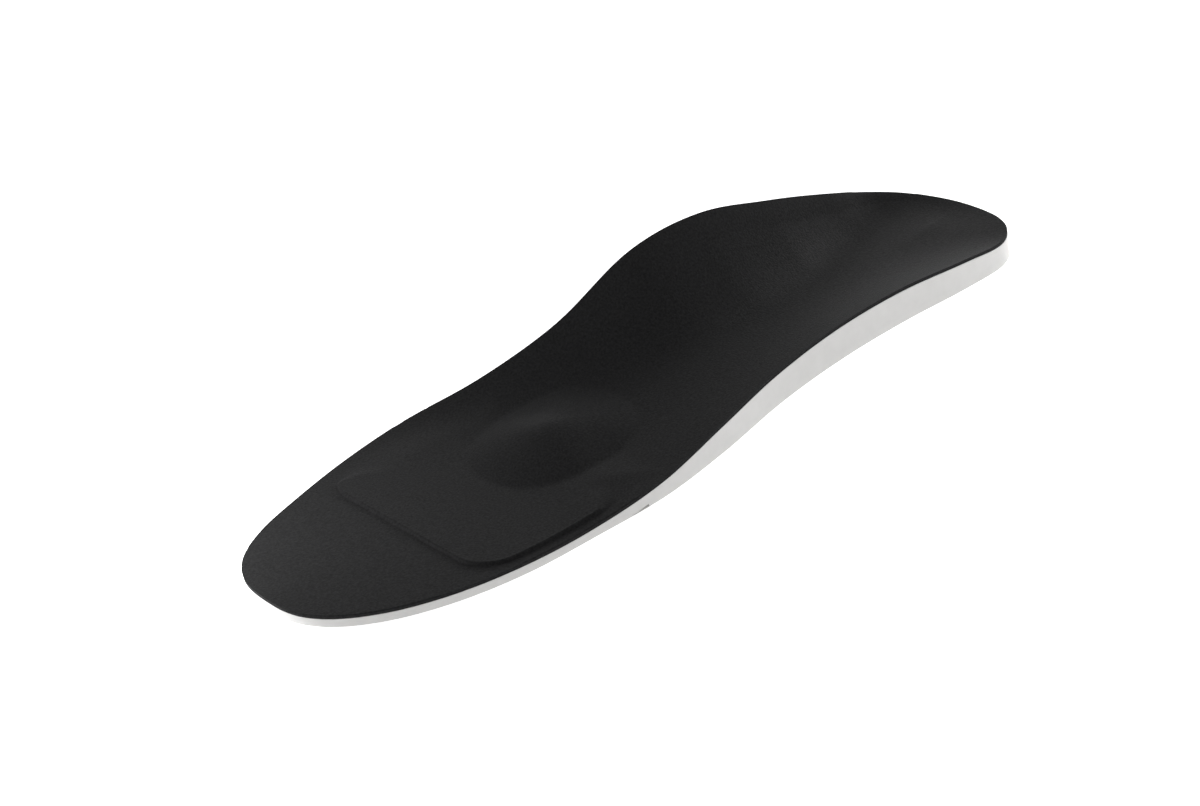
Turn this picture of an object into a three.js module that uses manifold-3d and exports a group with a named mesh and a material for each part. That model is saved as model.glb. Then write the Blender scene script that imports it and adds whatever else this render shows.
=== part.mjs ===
// An orthopaedic insole for a left foot: a foam base with a heel cup and a raised arch, a forefoot
// cushion and a metatarsal pad bonded to its bed, and a microfibre cover over all of it.
// Millimetres, +Z up, +Y towards the toes, +X towards the medial (big toe) side. The flat underside
// lies on z = 0, with the origin at the middle of its length and width.

import * as THREE from "three";
import { mergeVertices } from "three/addons/utils/BufferGeometryUtils.js";
import Module from "manifold-3d";

const wasm = await Module();
wasm.setup();

// Driving sizes
const LENGTH = 268;
const COVER_THICKNESS = 0.8;
const BOND_GAP = 0.3;

// The arch's wall leans out above this height, by this much for each millimetre
const FLARE_FROM = 10;
const FLARE = 0.2;

// Forefoot cushion: a plate with a sloping edge. Its ends are measured along the sole from the back of
// the heel, its sides follow the outline at a constant border, and its corners are round.
const CUSHION_THICKNESS = 0.6;
const CUSHION_SLOPE = 1.3;
const CUSHION_END = { rear: 183.5, front: 226 };
const CUSHION_CORNER = { rear: 5, front: 10 };
const CUSHION_BORDER = { lateral: 2.8, medial: 3.5 };

// Its edge is skived long and thin behind a line that crosses its rear and front ends at these places:
// the slope grows with the distance behind the line, up to a limit. The plate's own outline lies a
// margin inside the top of its slope, and this share of the way up the skived slope.
const SKIVE = { rear: -40.5, front: 45, growth: 2, limit: 14 };
const SKIVED_SHARE = 0.65;
const CUSHION_MARGIN = 1;

// Metatarsal pad: a low dome with even flanks, and the reach of its foot on each side of its crown. The
// crown's roundness and the pad's own edge are shares of that reach. Its plan is a little blunter than
// an ellipse, whose bluntness would be 2.
const DOME = { at: 173, across: 0, rise: 6, front: 23, rear: 27.5, lateral: 22, medial: 22 };
const DOME_BLUNTNESS = 2.3;
const DOME_SIDES = 40;
const DOME_CROWN = 0.25;
const DOME_EDGE = 0.9;

// A small wedge-shaped slit in the lateral wall, just above the edge of the underside
const SLIT = { at: 173.8, length: 6.2, height: 0.8, depth: 4, lip: 0.2 };

// Sections from heel to toe. "at" runs along the sole, and "middle" is where the section crosses the
// bed's middle line. "lateral" and "medial" are the outline, "lateralRim" and "medialRim" the foam's
// height there, "bed" its height in the middle, and "arch" how late the medial side starts to rise.
const SECTIONS = [
  { at: 0, middle: 15, lateral: -0.5, medial: -0.5, lateralRim: 7.4, medialRim: 7.4, bed: 6, arch: 2.4 },
  { at: 5, middle: 19, lateral: -23, medial: 20.5, lateralRim: 7.5, medialRim: 8.5, bed: 5.7, arch: 3 },
  { at: 14, middle: 25, lateral: -30, medial: 28.5, lateralRim: 7, medialRim: 10.7, bed: 5.2, arch: 4 },
  { at: 32, middle: 37, lateral: -31, medial: 30, lateralRim: 8.5, medialRim: 16.5, bed: 4.5, arch: 4 },
  { at: 58, middle: 58, lateral: -29.5, medial: 28.5, lateralRim: 10, medialRim: 25, bed: 4.5, arch: 2.6 },
  { at: 86, middle: 86, lateral: -30, medial: 27.5, lateralRim: 10, medialRim: 32.5, bed: 6, arch: 2 },
  { at: 114, middle: 114, lateral: -33.5, medial: 27, lateralRim: 9, medialRim: 32.2, bed: 7, arch: 2 },
  { at: 142, middle: 142, lateral: -40, medial: 31.5, lateralRim: 7.5, medialRim: 19.4, bed: 6, arch: 2.2 },
  { at: 168, middle: 168, lateral: -44, medial: 39.6, lateralRim: 4.5, medialRim: 10.4, bed: 4, arch: 2.6 },
  { at: 192, middle: 192, lateral: -43.5, medial: 47.6, lateralRim: 2.5, medialRim: 5.2, bed: 3, arch: 3 },
  { at: 214, middle: 214, lateral: -42, medial: 46.8, lateralRim: 2.5, medialRim: 3.2, bed: 2.5, arch: 3 },
  { at: 234, middle: 234, lateral: -37, medial: 41.4, lateralRim: 2.5, medialRim: 2.8, bed: 2.5, arch: 3 },
  { at: 250, middle: 241, lateral: -29, medial: 35.4, lateralRim: 2.5, medialRim: 2.6, bed: 2.5, arch: 3 },
  { at: 261, middle: 246, lateral: -19, medial: 27.3, lateralRim: 2.5, medialRim: 2.6, bed: 2.5, arch: 3 },
  { at: 266.5, middle: 250, lateral: -8.5, medial: 17, lateralRim: 2.5, medialRim: 2.6, bed: 2.5, arch: 3 },
  { at: LENGTH, middle: 253, lateral: 4.5, medial: 4.5, lateralRim: 3, medialRim: 3, bed: 2.5, arch: 3 },
];
const LATERAL_RISE = 2.2;

// Mesh density: the step along the outline, and the rings from the middle line to the cushion's slope
const ROW_STEP = 5;
const INNER_RINGS = 8;
const EDGE_RING = INNER_RINGS + 2;

const LAST = SECTIONS.length - 1;
const along = (at) => at - LENGTH / 2;

// The rim runs up the lateral side, round the toe and back down the medial side
const lateralPoints = SECTIONS.map((s) => new THREE.Vector3(s.lateral, along(s.at), s.lateralRim));
const medialPoints = SECTIONS.map((s) => new THREE.Vector3(s.medial, along(s.at), s.medialRim));
const rim = new THREE.CatmullRomCurve3([...lateralPoints, ...medialPoints.slice(1, LAST).reverse()], true);
const middleLine = new THREE.CatmullRomCurve3(
  SECTIONS.map((s) => new THREE.Vector3((s.lateral + s.medial) / 2, along(s.middle), s.bed)),
);

// A row is a place in the table of sections: 2.5 lies half way between the third and the fourth
const rimPoint = (row, side) => {
  const share = row / (2 * LAST);
  return rim.getPoint(side === "lateral" ? share : (1 - share) % 1);
};
const middlePoint = (row) => middleLine.getPoint(row / LAST);

function rowAt(at) {
  let low = 0;
  let high = LAST;
  while (high - low > 1e-6) {
    const half = (low + high) / 2;
    if (middlePoint(half).y < along(at)) low = half;
    else high = half;
  }
  return low;
}

function riseAt(row, side) {
  if (side === "lateral") return LATERAL_RISE;
  const section = Math.min(Math.floor(row), LAST - 1);
  return THREE.MathUtils.lerp(SECTIONS[section].arch, SECTIONS[section + 1].arch, row - section);
}

// How far a place is from the dome's crown, where 1 is the dome's foot
function domeShare(x, y) {
  const dx = x - DOME.across;
  const dy = y - along(DOME.at);
  const acrossShare = Math.abs(dx) / (dx < 0 ? DOME.lateral : DOME.medial);
  const alongShare = Math.abs(dy) / (dy < 0 ? DOME.rear : DOME.front);
  return (acrossShare ** DOME_BLUNTNESS + alongShare ** DOME_BLUNTNESS) ** (1 / DOME_BLUNTNESS);
}

function domeLift(share) {
  const flank = (at) => Math.hypot(at, DOME_CROWN);
  return DOME.rise * Math.max(0, (flank(1) - flank(share)) / (flank(1) - flank(0)));
}

// How much longer than elsewhere the cushion's slope is at a place
function skiveAt(x, y) {
  const run = SKIVE.front - SKIVE.rear;
  const rise = CUSHION_END.front - CUSHION_END.rear;
  const fromRear = y - along(CUSHION_END.rear);
  const behind = ((x - SKIVE.rear) * rise - fromRear * run) / Math.hypot(run, rise);
  return THREE.MathUtils.clamp(SKIVE.growth * behind, 0, SKIVE.limit);
}

// How far the cushion lifts the cover at a place that is so far inside the foot of its side slope:
// nothing at the foot, the whole thickness at the top. The rear slope runs out backwards, and below the
// dome it is longer still.
function cushionLift(fromSide, x, y) {
  const runOut = Math.max(skiveAt(x, y), DOME.rear * (1 - domeShare(x, y)));
  const fromFront = along(CUSHION_END.front) - y;
  const fromRear = y - along(CUSHION_END.rear) + runOut;
  const fromEnd = Math.min(fromFront, fromRear);
  const corner = fromFront < fromRear ? CUSHION_CORNER.front : CUSHION_CORNER.rear;
  let inside = Math.min(fromSide, fromEnd);
  if (inside > 0 && Math.max(fromSide, fromEnd) < corner) {
    inside = corner - Math.hypot(corner - fromSide, corner - fromEnd);
  }
  return (CUSHION_THICKNESS + BOND_GAP) * THREE.MathUtils.smoothstep(inside, 0, CUSHION_SLOPE + runOut);
}

// A place on the bed, "inset" from the outline towards the middle line
function bedPlace(row, side, inset) {
  const edge = rimPoint(row, side);
  const middle = middlePoint(row);
  const reach = Math.hypot(edge.x - middle.x, edge.y - middle.y);
  const share = 1 - inset / reach;
  const x = THREE.MathUtils.lerp(middle.x, edge.x, share);
  const y = THREE.MathUtils.lerp(middle.y, edge.y, share);
  const bed = middle.z + (edge.z - middle.z) * share ** riseAt(row, side);
  const lift = cushionLift(inset - CUSHION_BORDER[side], x, y) + domeLift(domeShare(x, y));
  return { x, y, bed, lift };
}

// The rings of a row lie evenly up to the cushion's slope, then at its top, its foot and the outline
function insetOfRing(row, side, ring) {
  if (ring === EDGE_RING) return 0;
  if (ring === EDGE_RING - 1) return CUSHION_BORDER[side];
  const edge = rimPoint(row, side);
  const middle = middlePoint(row);
  const reach = Math.hypot(edge.x - middle.x, edge.y - middle.y);
  const slopeTop = CUSHION_BORDER[side] + CUSHION_SLOPE;
  return THREE.MathUtils.lerp(reach, slopeTop, ring / INNER_RINGS);
}

// Rows of the mesh: even steps along the outline, and one at each end of the cushion's two slopes
function meshRows() {
  const even = [];
  for (let section = 0; section < LAST; section += 1) {
    const steps = Math.ceil(lateralPoints[section].distanceTo(lateralPoints[section + 1]) / ROW_STEP);
    for (let step = 0; step < steps; step += 1) even.push(section + step / steps);
  }
  even.push(LAST);
  const slopes = [
    CUSHION_END.rear,
    CUSHION_END.rear + CUSHION_SLOPE,
    CUSHION_END.front - CUSHION_SLOPE,
    CUSHION_END.front,
  ].map(rowAt);
  const tooNear = 0.13;
  const kept = even.filter((row) => slopes.every((slope) => Math.abs(row - slope) > tooNear));
  return [...kept, ...slopes].sort((a, b) => a - b);
}

// The bed as a grid of places, the triangles that join them seen from above, and the loop of its edge
function bedGrid() {
  const rows = meshRows();
  const places = [];
  const add = (place) => places.push(place) - 1;
  const lines = rows.map((row, index) => {
    const rings = [...Array(EDGE_RING + 1).keys()];
    const lateral = rings.map((ring) => add(bedPlace(row, "lateral", insetOfRing(row, "lateral", ring))));
    if (index === 0 || index === rows.length - 1) return { lateral, medial: lateral };
    const outer = rings.slice(1);
    const medial = outer.map((ring) => add(bedPlace(row, "medial", insetOfRing(row, "medial", ring))));
    return { lateral, medial: [lateral[0], ...medial] };
  });

  // Two triangles for each cell, split so that none is flat where a row runs on from the middle line
  const split = ([p, q, r, s], nearHeel) => (nearHeel ? [[p, q, r], [p, r, s]] : [[p, q, s], [q, r, s]]);
  const triangles = [];
  for (let index = 0; index + 1 < lines.length; index += 1) {
    const nearHeel = index < lines.length / 2;
    const row = lines[index];
    const next = lines[index + 1];
    for (let ring = 0; ring < EDGE_RING; ring += 1) {
      const out = ring + 1;
      const lateralCell = [row.lateral[ring], next.lateral[ring], next.lateral[out], row.lateral[out]];
      const medialCell = [row.medial[ring], row.medial[out], next.medial[out], next.medial[ring]];
      triangles.push(...split(lateralCell, nearHeel), ...split(medialCell, nearHeel));
    }
  }

  const medialLoop = lines.map((line) => line.medial[EDGE_RING]);
  const lateralLoop = lines.slice(1, -1).map((line) => line.lateral[EDGE_RING]);
  return { places, triangles, loop: [...medialLoop, ...lateralLoop.reverse()] };
}

const grid = bedGrid();

function geometryOf(points, triangles) {
  const geometry = new THREE.BufferGeometry();
  geometry.setAttribute("position", new THREE.Float32BufferAttribute(points.flat(), 3));
  geometry.setIndex(triangles.flat());
  return geometry;
}

// Walls between two loops of the same length, the second above the first
function wallsBetween(lowerLoop, upperLoop) {
  return lowerLoop.flatMap((lower, i) => {
    const next = (i + 1) % lowerLoop.length;
    return [
      [lower, lowerLoop[next], upperLoop[next]],
      [lower, upperLoop[next], upperLoop[i]],
    ];
  });
}

// A closed layer over the whole bed, between two heights given for each place
function layer(lowerHeight, upperHeight) {
  const count = grid.places.length;
  const points = [
    ...grid.places.map((place, i) => [place.x, place.y, lowerHeight(place, i)]),
    ...grid.places.map((place, i) => [place.x, place.y, upperHeight(place, i)]),
  ];
  const upper = grid.triangles.map((triangle) => triangle.map((corner) => corner + count));
  const lower = grid.triangles.map(([a, b, c]) => [a, c, b]);
  const upperLoop = grid.loop.map((corner) => corner + count);
  return geometryOf(points, [...upper, ...lower, ...wallsBetween(grid.loop, upperLoop)]);
}

function solidOf(geometry) {
  const bare = geometry.clone();
  bare.deleteAttribute("normal");
  bare.deleteAttribute("uv");
  const merged = mergeVertices(bare);
  return new wasm.Manifold(
    new wasm.Mesh({
      numProp: 3,
      vertProperties: new Float32Array(merged.getAttribute("position").array),
      triVerts: new Uint32Array(merged.getIndex().array),
    }),
  );
}

function geometryOfSolid(solid) {
  const mesh = solid.getMesh();
  const geometry = new THREE.BufferGeometry();
  geometry.setAttribute("position", new THREE.Float32BufferAttribute(mesh.vertProperties, 3));
  geometry.setIndex(new THREE.Uint32BufferAttribute(mesh.triVerts, 1));
  geometry.computeVertexNormals();
  return geometry;
}

function piece(name, geometry, color, roughness) {
  const material = new THREE.MeshStandardMaterial({ color, roughness, metalness: 0 });
  const mesh = new THREE.Mesh(geometry, material);
  mesh.name = name;
  return mesh;
}

// Foam base: the bed above, a flat underside, and a wall that leans in under the raised arch
function foamBase() {
  const { places, triangles, loop } = grid;
  const points = places.map((place) => [place.x, place.y, place.bed]);
  const foot = loop.map((corner) => {
    const { x, y, bed } = places[corner];
    const lean = FLARE * Math.max(0, bed - FLARE_FROM);
    return [x - Math.sign(x) * lean, y, 0];
  });
  const footLoop = foot.map((_, i) => places.length + i);
  const outline = foot.map(([x, y]) => new THREE.Vector2(x, y));
  const underside = THREE.ShapeUtils.triangulateShape(outline, []);
  const body = geometryOf(
    [...points, ...foot],
    [
      ...triangles,
      ...wallsBetween(footLoop, loop),
      ...underside.map(([a, b, c]) => [footLoop[a], footLoop[c], footLoop[b]]),
    ],
  );
  return geometryOfSolid(solidOf(body).subtract(solidOf(slit())));
}

// The slit's wedge, drawn along the sole and up, and pushed in from the lateral side
function slit() {
  const side = new THREE.Shape();
  side.moveTo(0, SLIT.lip);
  side.lineTo(SLIT.length, SLIT.lip);
  side.lineTo(0, SLIT.lip + SLIT.height);
  const wedge = new THREE.ExtrudeGeometry(side, { depth: 2 * SLIT.depth, bevelEnabled: false });
  wedge.rotateX(Math.PI / 2);
  wedge.rotateZ(Math.PI / 2);
  const edge = rimPoint(rowAt(SLIT.at), "lateral");
  wedge.translate(edge.x - SLIT.depth, along(SLIT.at), 0);
  return wedge;
}

// The two pads fill the space between the bed and the cover, inside their outlines
const coverUnderside = (place) => place.bed + BOND_GAP + place.lift;

function padBetween(outline) {
  const leastThickness = 0.05;
  const space = layer(
    (place) => place.bed + BOND_GAP,
    (place) => Math.max(coverUnderside(place) - BOND_GAP, place.bed + BOND_GAP + leastThickness),
  );
  return solidOf(space).intersect(solidOf(prism(outline)));
}

function prism(outline) {
  const height = 60;
  return new THREE.ExtrudeGeometry(outline, { depth: height, bevelEnabled: false });
}

// The dome's outline at a share of its reach, grown by a margin
function domeOutline(share, margin) {
  const corners = [...Array(DOME_SIDES).keys()].map((side) => {
    const turn = (2 * Math.PI * side) / DOME_SIDES;
    const across = Math.cos(turn);
    const forward = Math.sin(turn);
    const reachX = (across < 0 ? DOME.lateral : DOME.medial) * share + margin;
    const reachY = (forward < 0 ? DOME.rear : DOME.front) * share + margin;
    const blunt = (value) => Math.sign(value) * Math.abs(value) ** (2 / DOME_BLUNTNESS);
    return new THREE.Vector2(DOME.across + reachX * blunt(across), along(DOME.at) + reachY * blunt(forward));
  });
  return new THREE.Shape(corners);
}

// The cushion's outline runs along the top of its slope, or along the skived slope where the cushion is
// still more than half as thick, with its corners rounded
function cushionOutline() {
  const rearCorner = CUSHION_CORNER.rear;
  const frontCorner = CUSHION_CORNER.front;
  const slopeTop = CUSHION_SLOPE + CUSHION_MARGIN;
  const rear = CUSHION_END.rear + slopeTop + rearCorner;
  const front = CUSHION_END.front - slopeTop - frontCorner;
  const turns = [0, 30, 60, 90].map(THREE.MathUtils.degToRad);
  const stations = [
    ...turns.map((a) => ({ at: rear - rearCorner * Math.cos(a), inset: rearCorner * (1 - Math.sin(a)) })),
    { at: (rear + front) / 2, inset: 0 },
    ...turns.map((a) => ({ at: front + frontCorner * Math.sin(a), inset: frontCorner * (1 - Math.cos(a)) })),
  ];
  const edge = (side) =>
    stations.map(({ at, inset }) => {
      const foot = bedPlace(rowAt(at), side, CUSHION_BORDER[side]);
      const slope = slopeTop + SKIVED_SHARE * skiveAt(foot.x, foot.y);
      const place = bedPlace(rowAt(at), side, CUSHION_BORDER[side] + slope + inset);
      return new THREE.Vector2(place.x, place.y);
    });
  return new THREE.Shape([...edge("medial"), ...edge("lateral").reverse()]);
}

function forefootCushion() {
  const bay = solidOf(prism(domeOutline(DOME_EDGE, BOND_GAP)));
  return geometryOfSolid(padBetween(cushionOutline()).subtract(bay));
}

function metatarsalPad() {
  return geometryOfSolid(padBetween(domeOutline(DOME_EDGE, 0)));
}

// Cover: one thickness all over, measured square to the bed, and cut flush with the foam's wall
function topCover() {
  const underside = geometryOf(
    grid.places.map((place) => [place.x, place.y, coverUnderside(place)]),
    grid.triangles,
  );
  underside.computeVertexNormals();
  const normals = underside.getAttribute("normal");
  return layer(coverUnderside, (place, i) => coverUnderside(place) + COVER_THICKNESS / normals.getZ(i));
}

// The two sides of the outline reach out unequally, so the whole insole is centred on its width
const outlineBox = new THREE.Box3().setFromPoints(grid.places.map(({ x, y }) => new THREE.Vector3(x, y, 0)));

const insole = new THREE.Group();
insole.name = "forefoot_insole";
insole.position.x = -outlineBox.getCenter(new THREE.Vector3()).x;
insole.add(
  piece("foam_base", foamBase(), 0xeeece8, 0.85),
  piece("forefoot_cushion", forefootCushion(), 0xd9d4c8, 0.9),
  piece("metatarsal_pad", metatarsalPad(), 0xd2d6da, 0.9),
  piece("top_cover", topCover(), 0x1c1c1d, 0.95),
);

export default insole;
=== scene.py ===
import math

import bmesh
import bpy
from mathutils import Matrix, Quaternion, Vector, geometry, kdtree


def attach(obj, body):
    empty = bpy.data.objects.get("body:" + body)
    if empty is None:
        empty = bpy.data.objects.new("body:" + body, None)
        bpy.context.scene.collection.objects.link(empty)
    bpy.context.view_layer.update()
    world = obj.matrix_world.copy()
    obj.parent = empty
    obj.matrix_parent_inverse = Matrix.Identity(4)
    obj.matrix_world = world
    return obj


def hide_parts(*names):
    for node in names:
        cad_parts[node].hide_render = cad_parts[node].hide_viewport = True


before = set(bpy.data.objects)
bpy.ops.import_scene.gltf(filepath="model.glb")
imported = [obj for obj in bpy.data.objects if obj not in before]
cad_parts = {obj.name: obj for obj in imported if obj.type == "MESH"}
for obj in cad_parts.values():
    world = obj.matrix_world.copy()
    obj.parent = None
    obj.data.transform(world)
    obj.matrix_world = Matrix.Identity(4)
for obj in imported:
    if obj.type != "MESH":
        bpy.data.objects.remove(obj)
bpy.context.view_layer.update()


# Foam base
# White closed-cell EVA foam, milled as one body: a shallow heel cup, a raised arch on the medial side
# and a thin forefoot. Its side wall is ground, square to the flat underside and leaning in under the arch.

MM = 0.001
WELD = 0.001 * MM


def select_only(piece):
    bpy.ops.object.select_all(action="DESELECT")
    piece.select_set(True)
    bpy.context.view_layer.objects.active = piece


def copy_of(source, name):
    piece = bpy.data.objects.new(name, source.data.copy())
    piece.data.materials.clear()
    bpy.context.scene.collection.objects.link(piece)
    select_only(piece)
    return piece


def apply_modifier(piece, kind, **settings):
    select_only(piece)
    modifier = piece.modifiers.new(kind.lower(), kind)
    for setting, value in settings.items():
        setattr(modifier, setting, value)
    bpy.ops.object.modifier_apply(modifier=modifier.name)


# The bed is the foam's upper face alone, as a fine smooth sheet: the faces that look upward and lie no
# lower than the thinnest foam is
UPWARD = 0.2
THINNEST_FOAM = 2 * MM
SQUARENESS = math.radians(60)
SMOOTHING = 2

bed = copy_of(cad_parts["foam_base"], "bed")
bpy.ops.object.mode_set(mode="EDIT")
bpy.ops.mesh.select_all(action="SELECT")
bpy.ops.mesh.remove_doubles(threshold=WELD)
bpy.ops.mesh.select_all(action="DESELECT")
shape = bmesh.from_edit_mesh(bed.data)
for face in shape.faces:
    height = face.calc_center_median().z
    face.select_set(face.normal.z < UPWARD or height < THINNEST_FOAM)
bmesh.update_edit_mesh(bed.data)
bpy.ops.mesh.delete(type="FACE")
bpy.ops.mesh.select_all(action="SELECT")
bpy.ops.mesh.tris_convert_to_quads(face_threshold=math.pi, shape_threshold=SQUARENESS)
bpy.ops.object.mode_set(mode="OBJECT")
apply_modifier(bed, "SUBSURF", levels=SMOOTHING, render_levels=SMOOTHING)

# The rim is drawn down to the floor, leaning in under the arch, and closed by the flat underside
FLARE_FROM = 10 * MM
FLARE = 0.2
GROUND_EDGE = 0.1 * MM

base = copy_of(bed, "foam_base_form")
bpy.ops.object.mode_set(mode="EDIT")
bpy.ops.mesh.select_mode(type="EDGE")
bpy.ops.mesh.select_all(action="DESELECT")
bpy.ops.mesh.select_non_manifold()
bpy.ops.mesh.extrude_region()
shape = bmesh.from_edit_mesh(base.data)
for vertex in shape.verts:
    if vertex.select:
        lean = FLARE * max(0, vertex.co.z - FLARE_FROM)
        vertex.co.x -= math.copysign(lean, vertex.co.x)
        vertex.co.z = 0
bmesh.update_edit_mesh(base.data)
bpy.ops.mesh.edge_face_add()
bpy.ops.mesh.bevel(offset=GROUND_EDGE, segments=2)
bpy.ops.mesh.select_all(action="SELECT")
bpy.ops.mesh.normals_make_consistent(inside=False)
bpy.ops.object.mode_set(mode="OBJECT")

# A small wedge-shaped slit in the lateral wall, just above the underside's edge, below the ball of the foot
SLIT_HEEL_END = 39.8 * MM
SLIT_LENGTH = 6.2 * MM
SLIT_HEIGHT = 0.8 * MM
SLIT_DEPTH = 4 * MM
SLIT_LIP = 0.2 * MM
NEAR_SLIT = 2 * MM
SHARP_EDGE = math.radians(35)

edge_x = min(v.co.x for v in base.data.vertices if abs(v.co.y - SLIT_HEEL_END) < NEAR_SLIT)
bpy.ops.mesh.primitive_cube_add(size=1, location=(0, 0, 0))
wedge = bpy.context.active_object
for vertex in wedge.data.vertices:
    x, y, z = vertex.co
    vertex.co.x = edge_x + 2 * x * SLIT_DEPTH
    vertex.co.y = SLIT_HEEL_END + (y + 0.5) * SLIT_LENGTH
    vertex.co.z = SLIT_LIP + (SLIT_HEIGHT if y < 0 and z > 0 else 0)
bpy.ops.object.mode_set(mode="EDIT")
bpy.ops.mesh.select_all(action="SELECT")
bpy.ops.mesh.remove_doubles(threshold=WELD)
bpy.ops.object.mode_set(mode="OBJECT")
apply_modifier(base, "BOOLEAN", operation="DIFFERENCE", object=wedge, solver="EXACT")
bpy.data.objects.remove(wedge)
bpy.ops.object.mode_set(mode="EDIT")
bpy.ops.mesh.select_all(action="DESELECT")
bpy.ops.mesh.edges_select_sharp(sharpness=SHARP_EDGE)
bpy.ops.mesh.mark_sharp()
bpy.ops.object.mode_set(mode="OBJECT")
bpy.ops.object.shade_smooth()
apply_modifier(base, "WEIGHTED_NORMAL", keep_sharp=True)


# The finishes are made of noise on the piece's own coordinates, most of which lies between these values
NOISE_LOW = 0.3
NOISE_HIGH = 0.7


def new_material(name, finish):
    """A plain material, with the finish as values for the shader's sockets."""
    material = bpy.data.materials.new(name)
    material.use_nodes = True
    shader = material.node_tree.nodes["Principled BSDF"]
    for socket, value in finish.items():
        shader.inputs[socket].default_value = value
    return material


def add_noise(material, scale, detail, roughness):
    nodes, links = material.node_tree.nodes, material.node_tree.links
    place = nodes.new("ShaderNodeTexCoord")
    noise = nodes.new("ShaderNodeTexNoise")
    noise.inputs["Scale"].default_value = scale
    noise.inputs["Detail"].default_value = detail
    noise.inputs["Roughness"].default_value = roughness
    links.new(place.outputs["Object"], noise.inputs["Vector"])
    return noise.outputs["Fac"]


def add_tones(material, pattern, dark, light):
    nodes, links = material.node_tree.nodes, material.node_tree.links
    ramp = nodes.new("ShaderNodeValToRGB")
    ramp.color_ramp.elements[0].position = NOISE_LOW
    ramp.color_ramp.elements[0].color = (*dark, 1)
    ramp.color_ramp.elements[1].position = NOISE_HIGH
    ramp.color_ramp.elements[1].color = (*light, 1)
    links.new(pattern, ramp.inputs["Fac"])
    links.new(ramp.outputs["Color"], nodes["Principled BSDF"].inputs["Base Color"])


def add_bumps(material, pattern, strength, distance):
    nodes, links = material.node_tree.nodes, material.node_tree.links
    bump = nodes.new("ShaderNodeBump")
    bump.inputs["Strength"].default_value = strength
    bump.inputs["Distance"].default_value = distance
    links.new(pattern, bump.inputs["Height"])
    links.new(bump.outputs["Normal"], nodes["Principled BSDF"].inputs["Normal"])


eva_foam = new_material("white_eva_foam", {
    "Roughness": 0.8,
    "Specular IOR Level": 0.3,
    "Subsurface Weight": 0.15,
    "Subsurface Radius": (1.0, 0.95, 0.9),
    "Subsurface Scale": 1.5 * MM,
})
clouds = add_noise(eva_foam, scale=220, detail=3, roughness=0.6)
add_tones(eva_foam, clouds, dark=(0.67, 0.665, 0.655), light=(0.7, 0.695, 0.685))
pores = add_noise(eva_foam, scale=2600, detail=2, roughness=0.7)
add_bumps(eva_foam, pores, strength=0.25, distance=0.08 * MM)
base.data.materials.append(eva_foam)

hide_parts("foam_base")
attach(base, "root")


# Forefoot cushion
# A soft open-cell foam plate under the ball of the foot, cut out round the metatarsal pad. Its edges
# are skived, and it is glued to the bed and hidden by the cover.

SKIVED_EDGE = 0.2 * MM
PAD_SHARP = math.radians(45)
PAD_SMOOTH = math.radians(50)
CUSHION_FLATNESS = math.radians(10)


def pad_form(node, name, flatness):
    """A copy of a pad's solid, in quads where its faces are flat enough, with softened edges."""
    pad = copy_of(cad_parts[node], name)
    bpy.ops.object.mode_set(mode="EDIT")
    bpy.ops.mesh.select_all(action="SELECT")
    bpy.ops.mesh.remove_doubles(threshold=WELD)
    bpy.ops.mesh.tris_convert_to_quads(face_threshold=flatness, shape_threshold=math.pi)
    bpy.ops.object.mode_set(mode="OBJECT")
    apply_modifier(pad, "BEVEL", width=SKIVED_EDGE, segments=2, limit_method="ANGLE", angle_limit=PAD_SHARP)
    bpy.ops.object.shade_smooth_by_angle(angle=PAD_SMOOTH)
    return pad


cushion = pad_form("forefoot_cushion", "forefoot_cushion_form", CUSHION_FLATNESS)

cushion_foam = new_material("soft_cushion_foam", {"Roughness": 0.95, "Specular IOR Level": 0.1})
pores = add_noise(cushion_foam, scale=900, detail=4, roughness=0.7)
add_tones(cushion_foam, pores, dark=(0.58, 0.54, 0.46), light=(0.74, 0.7, 0.62))
add_bumps(cushion_foam, pores, strength=0.6, distance=0.2 * MM)
cushion.data.materials.append(cushion_foam)

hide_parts("forefoot_cushion")
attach(cushion, "root")


# Metatarsal pad
# A low dome of soft latex foam behind the ball of the foot, moulded in one piece and glued to the bed
# in the cushion's cut-out, under the cover.

DOME_FLATNESS = math.radians(15)

dome = pad_form("metatarsal_pad", "metatarsal_pad_form", DOME_FLATNESS)

pad_foam = new_material("soft_pad_foam", {"Roughness": 0.9, "Specular IOR Level": 0.2})
pores = add_noise(pad_foam, scale=1400, detail=3, roughness=0.6)
add_tones(pad_foam, pores, dark=(0.56, 0.6, 0.63), light=(0.68, 0.71, 0.74))
add_bumps(pad_foam, pores, strength=0.4, distance=0.1 * MM)
dome.data.materials.append(pad_foam)

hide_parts("metatarsal_pad")
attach(dome, "root")


# Top cover
# Black microfibre with a fine suede nap, cut to the outline, glued over the bed and the two pads, and
# trimmed flush with the foam's wall. The pads' edges show through it as a step and a dome.

COVER_THICKNESS = 0.8 * MM
BOND_GAP = 0.3 * MM
BOND_LINE = 0.1 * MM
CUT_EDGE = 0.2 * MM
COVER_SMOOTH = math.radians(60)

# The cushion lifts the cover in a step, inside a border along each side and between two ends
CUSHION_RISE = 0.9 * MM
CUSHION_SLOPE = 1.3 * MM
CUSHION_REAR = 43.5 * MM
CUSHION_FRONT = 91.3 * MM
CUSHION_CORNER_REAR = 5 * MM
CUSHION_CORNER_FRONT = 10 * MM
CUSHION_BORDER_LATERAL = 3 * MM
CUSHION_BORDER_MEDIAL = 3.5 * MM

# Behind the line through these two places the cushion is skived, and the step's slope grows longer
SKIVE_REAR = Vector((-42.45, 53)) * MM
SKIVE_FRONT = Vector((43.05, 93.5)) * MM
SKIVE_GROWTH = 2
SKIVE_START = 4 * MM
SKIVE_LIMIT = 14 * MM

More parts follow.
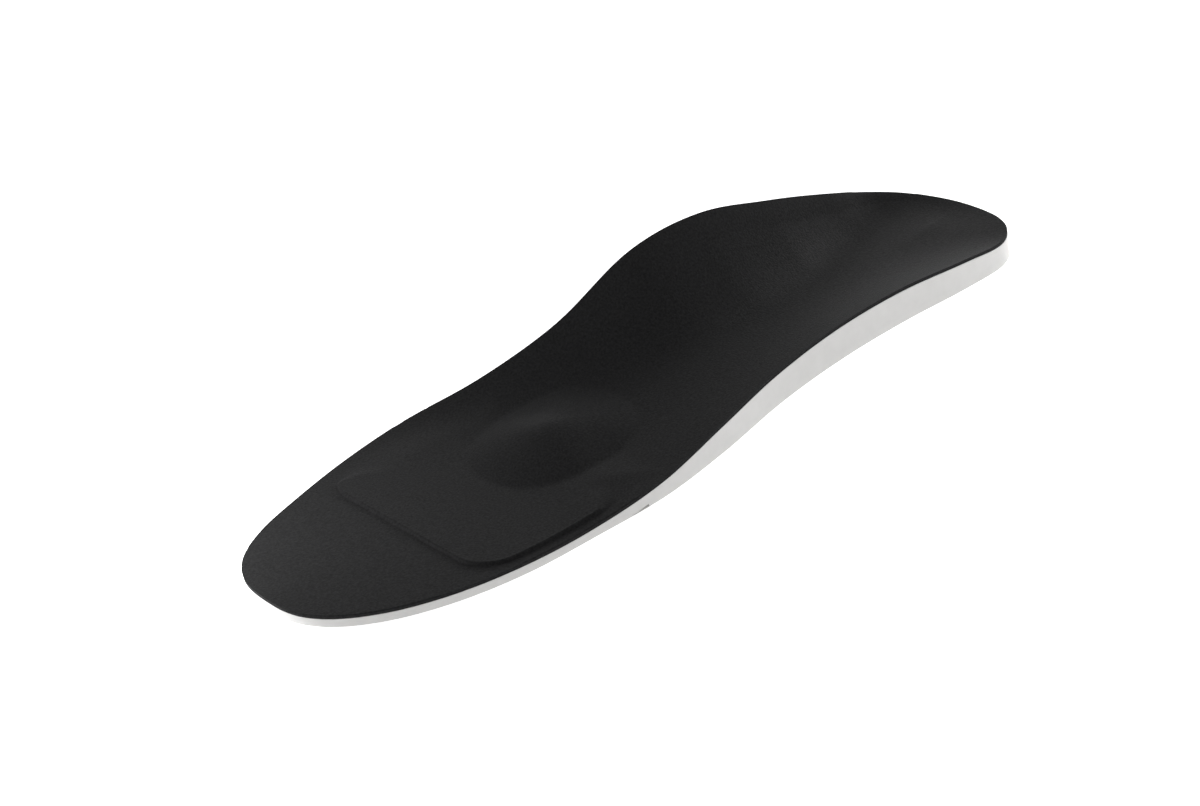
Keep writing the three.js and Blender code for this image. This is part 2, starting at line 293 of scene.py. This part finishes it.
# The dome lifts the cover over an oval that is blunter than an ellipse and has a rounded crown
DOME_CENTRE = Vector((-1.95, 39)) * MM
DOME_RISE = 6 * MM
DOME_BLUNTNESS = 2.3
DOME_CROWN = 0.25
DOME_FRONT = 23 * MM
DOME_REAR = 27.5 * MM
DOME_SIDE = 22 * MM

# Distances to the outline are taken from the nearest few edges of the bed's rim
NEAREST_EDGES = 3

cover = copy_of(bed, "top_cover_form")
shape = bmesh.new()
shape.from_mesh(bed.data)
rim_edges = [edge for edge in shape.edges if edge.is_boundary]
rim_places = kdtree.KDTree(len(rim_edges))
for index, edge in enumerate(rim_edges):
    middle = (edge.verts[0].co + edge.verts[1].co) / 2
    rim_places.insert(middle.xy.to_3d(), index)
rim_places.balance()
rim_lines = [(edge.verts[0].co.xy, edge.verts[1].co.xy) for edge in rim_edges]
shape.free()


def rim_distance(place):
    """Distance in plan from a place on the bed to the outline."""
    least = math.inf
    for _, index, _ in rim_places.find_n(place.xy.to_3d(), NEAREST_EDGES):
        start, end = rim_lines[index]
        nearest, share = geometry.intersect_point_line(place.xy, start, end)
        nearest = start if share < 0 else end if share > 1 else nearest
        least = min(least, (place.xy - nearest.xy).length)
    return least


def dome_share(place):
    """How far a place is from the dome's crown, where 1 is the dome's foot."""
    offset = place.xy - DOME_CENTRE
    across = abs(offset.x) / DOME_SIDE
    along = abs(offset.y) / (DOME_REAR if offset.y < 0 else DOME_FRONT)
    return (across ** DOME_BLUNTNESS + along ** DOME_BLUNTNESS) ** (1 / DOME_BLUNTNESS)


def dome_lift(place):
    foot = math.hypot(1, DOME_CROWN)
    return DOME_RISE * max(0, (foot - math.hypot(dome_share(place), DOME_CROWN)) / (foot - DOME_CROWN))


def run_out(place):
    """How much longer than elsewhere the cushion's slope is, on its skived edge and under the dome."""
    line = SKIVE_FRONT - SKIVE_REAR
    behind = max((place.xy - SKIVE_REAR).cross(line) / line.length, 0)
    skive = min(SKIVE_GROWTH * behind ** 2 / (behind + SKIVE_START), SKIVE_LIMIT)
    return max(skive, DOME_REAR * (1 - dome_share(place)))


def inside_cushion(place):
    """How far a place lies inside the foot of the cushion's slope, less than nothing outside it."""
    border = CUSHION_BORDER_LATERAL if place.x < 0 else CUSHION_BORDER_MEDIAL
    from_side = rim_distance(place) - border
    from_front = CUSHION_FRONT - place.y
    from_rear = place.y - CUSHION_REAR + run_out(place)
    from_end = min(from_front, from_rear)
    corner = CUSHION_CORNER_FRONT if from_front < from_rear else CUSHION_CORNER_REAR
    inside = min(from_side, from_end)
    if inside > 0 and max(from_side, from_end) < corner:
        inside = corner - math.hypot(corner - from_side, corner - from_end)
    return inside


def cushion_lift(place):
    step = min(max(inside_cushion(place) / (CUSHION_SLOPE + run_out(place)), 0), 1)
    return CUSHION_RISE * step * step * (3 - 2 * step)


# The sheet gets finer cells along the cushion's slope, where it isn't too long, and is then raised over
# the pads
FINE_RUN_OUT = 8 * MM
FINE_CUTS = 2

bpy.ops.object.mode_set(mode="EDIT")
bpy.ops.mesh.select_mode(type="FACE")
bpy.ops.mesh.select_all(action="DESELECT")
shape = bmesh.from_edit_mesh(cover.data)
for face in shape.faces:
    place = face.calc_center_median()
    longer = run_out(place)
    near_slope = -CUSHION_SLOPE < inside_cushion(place) < 2 * CUSHION_SLOPE + longer
    face.select_set(near_slope and longer < FINE_RUN_OUT)
bmesh.update_edit_mesh(cover.data)
bpy.ops.mesh.subdivide(number_cuts=FINE_CUTS)
shape = bmesh.from_edit_mesh(cover.data)
for vertex in shape.verts:
    vertex.co.z += BOND_GAP + cushion_lift(vertex.co) + dome_lift(vertex.co)
shape.normal_update()
rise = shape.verts.layers.float.new("rise")
for vertex in shape.verts:
    vertex[rise] = COVER_THICKNESS / vertex.normal.z
bmesh.update_edit_mesh(cover.data)

# Its thickness is drawn straight up, so that the cut edge stays flush with the wall, and the cut edge
# is then rounded a little
bpy.ops.mesh.select_all(action="SELECT")
bpy.ops.mesh.extrude_region()
shape = bmesh.from_edit_mesh(cover.data)
rise = shape.verts.layers.float["rise"]
upper = {vertex for vertex in shape.verts if vertex.select}
for vertex in shape.verts:
    vertex.co.z += vertex[rise] if vertex in upper else BOND_LINE - BOND_GAP
cut = [edge for edge in shape.edges if upper.issuperset(edge.verts)
       and any(not upper.issuperset(face.verts) for face in edge.link_faces)]
bpy.ops.mesh.select_mode(type="EDGE")
bpy.ops.mesh.select_all(action="DESELECT")
shape = bmesh.from_edit_mesh(cover.data)
for edge in cut:
    edge.select_set(True)
bmesh.update_edit_mesh(cover.data)
bpy.ops.mesh.bevel(offset=CUT_EDGE, segments=3)
bpy.ops.mesh.select_all(action="SELECT")
bpy.ops.mesh.normals_make_consistent(inside=False)
bpy.ops.object.mode_set(mode="OBJECT")
cover.data.attributes.remove(cover.data.attributes["rise"])
bpy.ops.object.shade_smooth_by_angle(angle=COVER_SMOOTH)

microfibre = new_material("black_microfibre", {
    "Roughness": 0.45,
    "Specular IOR Level": 0.0086,
    "Sheen Weight": 0.0196,
    "Sheen Roughness": 0.8,
})
nap = add_noise(microfibre, scale=1500, detail=3, roughness=0.6)
add_tones(microfibre, nap, dark=(0.0104, 0.0104, 0.0107), light=(0.0218, 0.0218, 0.0225))
add_bumps(microfibre, nap, strength=0.4, distance=0.3 * MM)
cover.data.materials.append(microfibre)

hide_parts("top_cover")
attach(cover, "root")
bpy.data.objects.remove(bed)


# Studio
# A plain white floor under soft light from all round, a large lamp above the camera's side, four behind
# the heel and a small one near each end. The camera looks from the photograph's side, tilted a little.

FLOOR_SIZE = 60
LIGHT_ROUND = 0.09
FLOOR_GLOW = 0.66
LAMPS = {
    "camera_side_lamp": {"place": (-0.8, 0.2, 0.9), "size": 0.5, "power": 4.22},
    "heel_lamp": {"place": (0.1, -0.8, 0.4), "size": 0.5, "power": 2.67},
    "far_heel_lamp": {"place": (0.75, -0.45, 0.4), "size": 0.5, "power": 1.84},
    "low_heel_lamp": {"place": (0.2, -0.7, 0.12), "size": 0.3, "power": 3.9},
    "low_far_lamp": {"place": (0.45, -0.55, 0.12), "size": 0.3, "power": 0.64},
    "heel_spot": {"place": (-0.16, -0.3, 0.15), "size": 0.12, "power": 0.15},
    "toe_spot": {"place": (0.055, 0.175, 0.04), "size": 0.04, "power": 0.13},
}

bpy.ops.mesh.primitive_plane_add(size=FLOOR_SIZE, location=(0, 0, 0))
floor = bpy.context.active_object
floor.name = "studio_floor"
paper = new_material("white_paper", {
    "Base Color": (0.9, 0.9, 0.9, 1),
    "Roughness": 1,
    "Specular IOR Level": 0,
    "Emission Color": (1, 1, 1, 1),
    "Emission Strength": FLOOR_GLOW,
})
floor.data.materials.append(paper)

world = bpy.data.worlds.new("studio_light")
bpy.context.scene.world = world
world.use_nodes = True
world.node_tree.nodes["Background"].inputs["Color"].default_value = (1, 1, 1, 1)
world.node_tree.nodes["Background"].inputs["Strength"].default_value = LIGHT_ROUND

for name, lamp_values in LAMPS.items():
    bpy.ops.object.light_add(type="AREA", location=lamp_values["place"])
    lamp = bpy.context.active_object
    lamp.name = name
    lamp.data.size = lamp_values["size"]
    lamp.data.energy = lamp_values["power"]
    lamp.rotation_mode = "QUATERNION"
    lamp.rotation_quaternion = (-lamp.location).to_track_quat("-Z", "Y")

AZIMUTH = math.radians(236.458)
ELEVATION = math.radians(28.075)
ROLL = math.radians(-11.722)
DISTANCE = 617.8 * MM
AIM = Vector((-1.18, 18.89, 8.15)) * MM
FOCAL_LENGTH = 64.12
FILM_WIDTH = 36

away = Vector((
    math.sin(AZIMUTH) * math.cos(ELEVATION),
    -math.cos(AZIMUTH) * math.cos(ELEVATION),
    math.sin(ELEVATION),
))
bpy.ops.object.camera_add(location=AIM + DISTANCE * away)
camera = bpy.context.active_object
camera.rotation_mode = "QUATERNION"
camera.rotation_quaternion = (-away).to_track_quat("-Z", "Y") @ Quaternion((0, 0, 1), ROLL)
camera.data.sensor_fit = "HORIZONTAL"
camera.data.sensor_width = FILM_WIDTH
camera.data.lens = FOCAL_LENGTH
bpy.context.scene.camera = camera
bpy.context.scene.view_settings.view_transform = "Standard"
